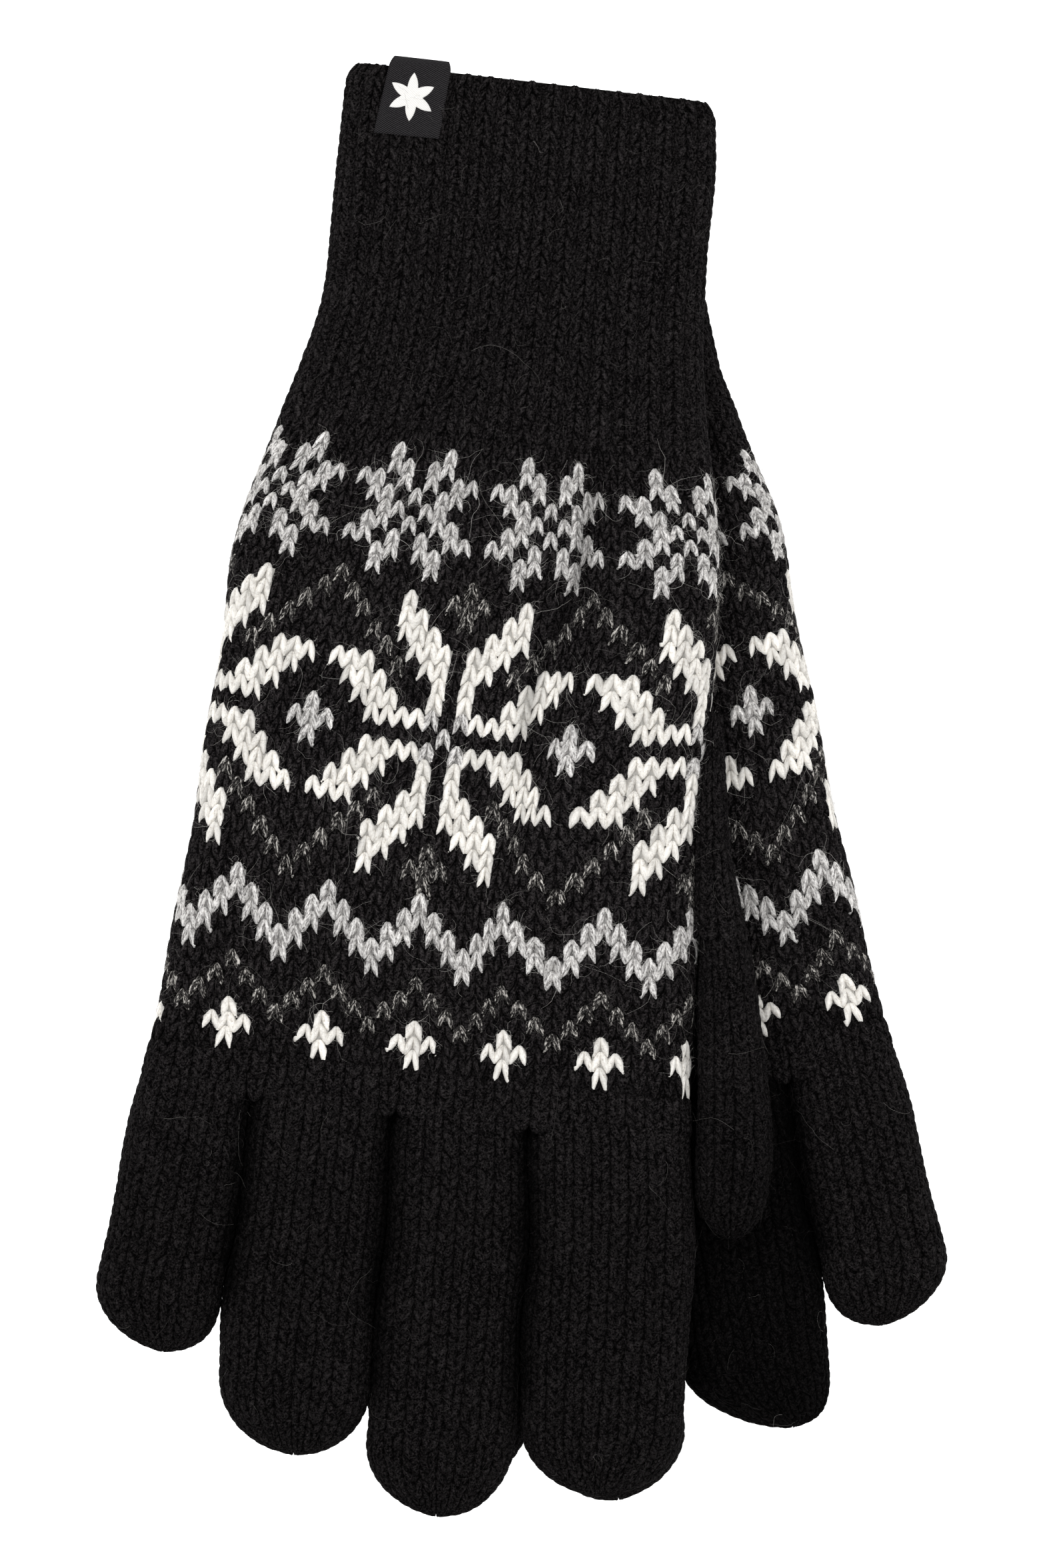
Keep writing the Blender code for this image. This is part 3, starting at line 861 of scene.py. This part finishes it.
def build_hand(glove):
    flip = glove == "front"
    tube = hand_tube(glove)
    grid = HandGrid(glove, tube)
    columns = np.arange(WALES) - WALES // 2
    rows = np.arange(FIRST_ROW[glove], LAST_ROW + 1)
    for side, start in (("top", -WALES // 4), ("under", WALES // 4)):
        mesh = Mesh()
        part = np.arange(start, start + WALES // 2)
        knit(mesh, tube, part, rows, grid.share_of, grid.t_of, PATTERN_WALE, ROW_PITCH, chart, flip,
             dim=fold_shade(tube))
        mesh.make(glove + "_hand_knit_" + side, glove + "_glove")

    mesh = Mesh()
    ground_rows = np.arange(FIRST_ROW[glove], GROUND_ROW + 1)
    edges = np.concatenate([ground_rows, [GROUND_ROW + 0.5]]).astype(float) + 0.3
    edges[0] -= 0.9
    edges[-1] = GROUND_ROW + 0.5
    slots = np.array([ground_colour(int(c), int(r)) for r in ground_rows for c in columns])
    ground(mesh, tube, columns - 0.5, edges, grid.share_of, grid.t_of, slots, not flip)
    wales = tube_wales(tube, ROOT - 4.0)
    start = grid.straight(LAST_ROW + 1) + 0.6
    knit(mesh, tube, np.arange(wales), np.arange(ROOT_ROWS), *even_grid(start, PLAIN_ROW, wales),
         PLAIN_WALE, PLAIN_ROW, all_black, flip, 0.0, PLAIN_RELIEF, PLAIN_FULL)
    mesh.make(glove + "_hand_ground", glove + "_glove")

    def slot_of(column, row):
        colours = np.array([chart(int(round(c)), int(np.floor(r))) for c, r in zip(column, row)])
        return np.array([BLACK_FUZZ, GREY_FUZZ, PALE_FUZZ, PALE_FUZZ])[colours]

    for side, start in (("top", -WALES / 4), ("under", WALES / 4)):
        count = HAND_HAIRS[side]
        where = (start, start + WALES / 2), (rows[0], LAST_ROW)
        mesh = Mesh()
        fuzz(mesh, tube, count, *where, grid.share_of, grid.t_of, slot_of, 1.9, True)
        fuzz(mesh, tube, count // 5, *where, grid.share_of, grid.t_of, slot_of, 2.2, False)
        fuzz(mesh, tube, count // 6, *where, grid.share_of, grid.t_of, slot_of, 4.0, True, 10)
        mesh.make(glove + "_hand_hairs_" + side, glove + "_glove")
        mesh = Mesh()
        fuzz(mesh, tube, count * 3, *where, grid.share_of, grid.t_of, slot_of, 0.6, True, 3)
        mesh.make(glove + "_hand_fuzz_" + side, glove + "_glove")
    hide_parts(glove + "_hand")


# ------------------------------ plain digits
ROOT_BLEND = 8.0  # a length past a root, mm: a point is found there and not used
FOLD_BLEND = 5.0  # and this length on each side of a middle fold
NEXT_BASE = {"ring": 223.0, "middle": 236.0}  # where the gap beside a finger opens
VALLEY_WIDTH = 2.8  # how far from a neighbour the painted shade reaches on a finger, mm
VALLEY_SHADE = 0.8  # and how strong that painted shade is
VALLEY_END = 6.0  # the shade ends over this length
# the black yarn of pieces that lie in more shade, or in more light, is darker or brighter by this
BLACK_CHANGE = {
    "front_thumb_lower_knit": 0.57, "front_thumb_upper_knit": 0.65, "front_thumb_gusset_knit": 0.65,
    "rear_little_lower_knit": 1.05, "rear_little_upper_knit": 1.1,
    "rear_ring_lower_knit": 0.35, "rear_ring_upper_knit": 0.35,
}


def valley(tube, low, high, stop):
    """Painted shade deep between two fingers: on the low side, the high side or both."""
    def dim(share, t):
        _, w, _ = tube.size(t)
        across = tube.spread(share, t)
        near = np.exp(-((1.0 - np.abs(across)) * w / VALLEY_WIDTH) ** 2)
        side = np.where(across < 0, low, high)
        return 1.0 - VALLEY_SHADE * side * near * np.clip((stop - t) / VALLEY_END, 0.0, 1.0)
    return dim


def build_tube(glove, name, tube, start, stop, wales, course, body, hair, tip=None, dim=None):
    """A plain knitted tube, or with a tip given, one that is drawn together there."""
    flip = glove == "front"
    rows = np.arange(int(np.ceil((stop - start) / course)))
    course = (stop - start) / len(rows)
    share_of, t_of = even_grid(start, course, wales)
    mesh = Mesh()
    knit(mesh, tube, np.arange(wales), rows, share_of, t_of, PLAIN_WALE, course, all_black, flip,
         0.0, PLAIN_RELIEF, PLAIN_FULL, BLACK_CHANGE.get(name, 1.0), dim)
    edges = np.linspace(0.0, len(rows), len(rows) + 1)
    if tip is not None:
        last = (tip - start) / course
        edges = np.concatenate([edges[:-1], np.linspace(edges[-1], last, 5)])
    ground(mesh, tube, np.arange(wales * 2) / 2, edges, share_of, t_of, None, not flip)
    where = (0, wales), (0, len(rows))
    fuzz(mesh, tube, hair, *where, share_of, t_of, one_fuzz(BLACK_FUZZ), 2.4)
    fuzz(mesh, tube, hair // 12, *where, share_of, t_of, one_fuzz(GREY_FUZZ), 4.0, None, 10)
    return mesh.make(name, body)


def tube_wales(tube, t):
    _, w, h = tube.size(np.float64(t))
    reach = min(SIDE, w)
    return int(round((4 * (w - reach) + pi * (reach + h)) / PLAIN_WALE))


def build_digit(glove, name):
    digit = digit_of(glove, name)
    tube = digit_tube(glove, name)
    root, fold = digit["root"], digit["fold"]
    split = (root + fold) / 2
    base = digit["tip"] - digit["end"]
    end = base + digit["end"] * radians(CLOSED_KNIT)
    tip = base + digit["end"] * radians(CLOSED)
    wales = tube_wales(tube, (root + digit["tip"]) / 2)
    full = glove + "_" + name
    hinge = THICK if glove == "front" else 0.0

    def at(t):
        u = (curve(digit["low"], t) + curve(digit["high"], t)) / 2
        return spot(glove, u, t, hinge)

    low, high = name in ("ring", "middle", "index"), name in ("little", "ring", "middle")
    dim = valley(tube, low, high, NEXT_BASE.get(name, base))
    lower = build_tube(glove, full + "_lower_knit", tube, root, split, wales, PLAIN_ROW, None,
                       LOWER_HAIRS, dim=dim)
    at(root)
    at(root + ROOT_BLEND)
    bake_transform(lower)
    upper = build_tube(glove, full + "_upper_knit", tube, split, end, wales, PLAIN_ROW, None,
                       UPPER_HAIRS, tip, dim)
    at(fold - FOLD_BLEND)
    at(fold + FOLD_BLEND)
    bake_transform(upper)
    for obj, part in ((lower, "_lower"), (upper, "_upper")):
        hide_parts(full + part)


def build_gusset(glove):
    tube = gusset_tube(glove)
    name = glove + "_thumb_gusset"
    made = build_tube(glove, name + "_knit", tube, THUMB_START + 1.0, THUMB_ROOT, GUSSET_WALES,
                      PLAIN_ROW, glove + "_glove", GUSSET_HAIRS)
    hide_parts(name)


# ------------------------------ ribbed cuff
def build_cuff(glove):
    """One knit and one purl rib in turn: the knit ribs stand proud of the purl ones."""
    flip = glove == "front"
    tube = hand_tube(glove)
    start = CUFF_WIDTH[glove][0][0] + 0.2
    rows = np.arange(int(round((CUFF_END + 1.0 - start) / PLAIN_ROW)))
    course = (CUFF_END + 1.0 - start) / len(rows)
    share_of, t_of = even_grid(start, course, 2 * RIBS)

    def knit_rib(column, row):
        """A knit rib spreads over part of the purl ribs beside it."""
        middle = 2 * np.rint(column / 2)
        return share_of(middle + RIB_SPREAD * (column - middle), row)

    mesh = Mesh()
    knit(mesh, tube, 2 * np.arange(RIBS), rows, knit_rib, t_of, KNIT_RIB_WALE, course,
         all_black, flip, 0.1, PLAIN_RELIEF, RIB_FULL)
    knit(mesh, tube, 2 * np.arange(RIBS) + 1, rows, share_of, lambda s, r: t_of(s, r + 0.5),
         PURL_RIB_WALE, course, all_black, flip, -0.35, PLAIN_RELIEF, RIB_FULL)
    made = mesh.make(glove + "_cuff_knit", glove + "_glove")

    mesh = Mesh()
    inner = rows[:int(INSIDE_KNIT / course)]
    knit(mesh, tube, np.arange(2 * RIBS), inner, share_of, t_of, INSIDE_WALE, course,
         all_black, not flip, SKIN - WALL - 0.1, -1.0)
    edges = np.linspace(0.0, len(rows), len(rows) + 1)
    ground(mesh, tube, np.arange(2 * RIBS), edges, share_of, t_of, None, not flip)
    where = (0, 2 * RIBS), (0, len(rows))
    fuzz(mesh, tube, CUFF_HAIRS, *where, share_of, t_of, one_fuzz(BLACK_FUZZ), 2.4)
    fuzz(mesh, tube, CUFF_HAIRS // 9, *where, share_of, t_of, one_fuzz(GREY_FUZZ), 3.5, None, 10)
    inside = mesh.make(glove + "_cuff_inside", glove + "_glove")
    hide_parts(glove + "_cuff")


# ------------------------------ woven label
LABEL_LEFT = [(-1.7, -25.3), (12.3, -26.9)]  # (t, u) of its sides
LABEL_RIGHT = [(-1.7, -14.5), (12.1, -15.3)]
LABEL_FOLD_T = 0.1  # where it starts to turn over the mouth
LABEL_TOP = 12.35  # height of its outer face
LABEL_LOW = 8.75  # height of its face inside the cuff
LABEL_BODY = 0.4  # its thickness
LABEL_INSIDE = 9.0  # how far it reaches into the cuff
MARK = (-20.9, 5.3, 4.3)  # u, t and radius of the star on it
# rings of the star as (share of its outline, height over the label), from its middle to its back
MARK_RINGS = ((0.0, 0.10), (0.35, 0.10), (0.7, 0.10), (0.97, 0.09), (1.0, 0.04), (1.0, -0.1),
              (0.0, -0.1))


def side_of(ends, t):
    (t0, u0), (t1, u1) = ends
    return u0 + (u1 - u0) * (t - t0) / (t1 - t0)


def ripple(u, t):
    return 0.10 * np.sin(0.8 * t + 0.5 * u) + 0.07 * np.sin(1.1 * u - 0.5 * t + 1.0)


def build_label():
    """A tape folded over the mouth of the cuff, with a plain six-armed star on the outside."""
    across = np.linspace(0.0, 1.0, 23)[:, None]
    bottom = LABEL_LEFT[1][0] + (LABEL_RIGHT[1][0] - LABEL_LEFT[1][0]) * across
    reach = (LABEL_TOP - LABEL_LOW) / 2
    fold = np.linspace(0.0, pi, 13)[None, :]
    skins = []
    for inset in (0.0, LABEL_BODY):
        t_out = bottom + (LABEL_FOLD_T - bottom) * np.linspace(0.0, 1.0, 24)[None, :-1]
        t_fold = LABEL_FOLD_T - (reach - inset) * np.sin(fold) + 0 * across
        inward = np.linspace(0.0, 1.0, 14)[None, 1:]
        t_in = LABEL_FOLD_T + (LABEL_INSIDE - LABEL_FOLD_T) * inward + 0 * across
        z_fold = (LABEL_TOP + LABEL_LOW) / 2 + (reach - inset) * np.cos(fold) + 0 * across
        t = np.concatenate([t_out, t_fold, t_in], axis=1)
        z_out, z_in = LABEL_TOP - inset + 0 * t_out, LABEL_LOW + inset + 0 * t_in
        z = np.concatenate([z_out, z_fold, z_in], axis=1)
        low, high = side_of(LABEL_LEFT, t), side_of(LABEL_RIGHT, t)
        corner = 0.6 * np.clip((0.3 - t) / 2.0, 0.0, 1.0) ** 2
        u = low + corner + (high - low - 2 * corner) * across
        z = z + ripple(u, t) - 0.25 * (2 * across - 1) ** 6
        skins.append((u, t, z))
    ring = [np.concatenate([a, b[:, ::-1]], axis=1) for a, b in zip(*skins)]
    wide, length = ring[0].shape
    points = world("front", *ring).reshape(-1, 3)
    quads = [grid_quads(wide, length, True, False)]
    k = np.arange(length // 2 - 1)
    for start, turned in ((0, False), ((wide - 1) * length, True)):
        cap = np.stack([k, k + 1, length - 2 - k, length - 1 - k], axis=-1) + start
        quads.append(cap[:, ::-1] if turned else cap)
    quads = np.concatenate(quads)
    fibre = np.stack([ring[0], ring[1] + 0.7 * ring[2]], axis=-1).reshape(-1, 2)
    mesh = Mesh()
    mesh.add(points, quads, np.full(len(quads), TWILL), fibre, np.ones(len(points)))
    label = mesh.make("front_label_tape", "front_glove")
    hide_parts("front_label")

    mesh = Mesh()
    mid_u, mid_t, radius = MARK
    turns = np.arange(72) / 72 * 2 * pi
    point = np.abs((turns / (pi / 3)) % 1.0 - 0.5) * 2
    edge = radius * (0.44 + 0.56 * point ** 1.2)
    rings = []
    for size, rise in MARK_RINGS:
        u = mid_u + size * edge * np.sin(turns)
        t = mid_t - size * edge * np.cos(turns)
        rings.append((u, t, LABEL_TOP + ripple(u, t) + rise))
    u, t, z = (np.stack(part) for part in zip(*rings))
    points = world("front", u, t, z).reshape(-1, 3)
    quads = grid_quads(len(rings), len(turns), True, False)
    mesh.add(points, quads, np.full(len(quads), THREAD), np.stack([u, t], axis=-1).reshape(-1, 2),
             np.ones(len(points)))
    star = mesh.make("front_label_star", "front_glove")
    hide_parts("front_label_mark")


build_label()
for glove in ("rear", "front"):
    build_cuff(glove)
    build_hand(glove)
    build_gusset(glove)
    for digit_name in DIGITS:
        build_digit(glove, digit_name)


# ------------------------------ setting
FLOOR_HALF = 3.0
FLOOR_Z = -0.085  # low enough for the rear glove's fingers to fold down
LAMPS = (  # name, place, width and watts
    ("key", (-0.5, 0.6, 1.1), 0.7, 7.0),
    ("fill", (0.7, -0.3, 1.0), 0.9, 3.0),
)
CAMERA_HEIGHT = 2.4  # over the middle of the pair
CAMERA_AIM_Z = 0.018
FRAME_HEIGHT = 0.27671  # what the camera sees from top to bottom at that height, metres
SENSOR = 36.0


def make_setting():
    scene = bpy.context.scene
    scene.view_settings.view_transform = "Standard"
    world_light = bpy.data.worlds.new("white_room")
    world_light.use_nodes = True
    background = world_light.node_tree.nodes["Background"]
    background.inputs[0].default_value = (1.0, 1.0, 1.0, 1.0)
    background.inputs[1].default_value = 0.75
    scene.world = world_light

    mesh = bpy.data.meshes.new("floor")
    signs = ((-1, -1), (1, -1), (1, 1), (-1, 1))
    corners = [(x * FLOOR_HALF, y * FLOOR_HALF, FLOOR_Z) for x, y in signs]
    mesh.from_pydata(corners, [], [(0, 1, 2, 3)])
    floor = bpy.data.objects.new("floor", mesh)
    scene.collection.objects.link(floor)
    mat = bpy.data.materials.new("floor_white")
    mat.use_nodes = True
    shader = mat.node_tree.nodes["Principled BSDF"]
    shader.inputs["Base Color"].default_value = (0.95, 0.95, 0.95, 1.0)
    shader.inputs["Roughness"].default_value = 0.9
    shader.inputs["Emission Color"].default_value = (1.0, 1.0, 1.0, 1.0)
    shader.inputs["Emission Strength"].default_value = 0.55
    mesh.materials.append(mat)

    for name, place, wide, power in LAMPS:
        lamp = bpy.data.lights.new(name, "AREA")
        lamp.shape = "DISK"
        lamp.size = wide
        lamp.energy = power
        obj = bpy.data.objects.new(name, lamp)
        obj.location = place
        obj.rotation_euler = (-Vector(place)).to_track_quat("-Z", "Y").to_euler()
        scene.collection.objects.link(obj)

    cam = bpy.data.cameras.new("camera")
    cam.sensor_width = SENSOR
    cam.lens = SENSOR * CAMERA_HEIGHT / FRAME_HEIGHT
    cam.clip_end = 20.0
    obj = bpy.data.objects.new("camera", cam)
    obj.location = (0.0, 0.0, CAMERA_AIM_Z + CAMERA_HEIGHT)
    scene.collection.objects.link(obj)
    scene.camera = obj


make_setting()
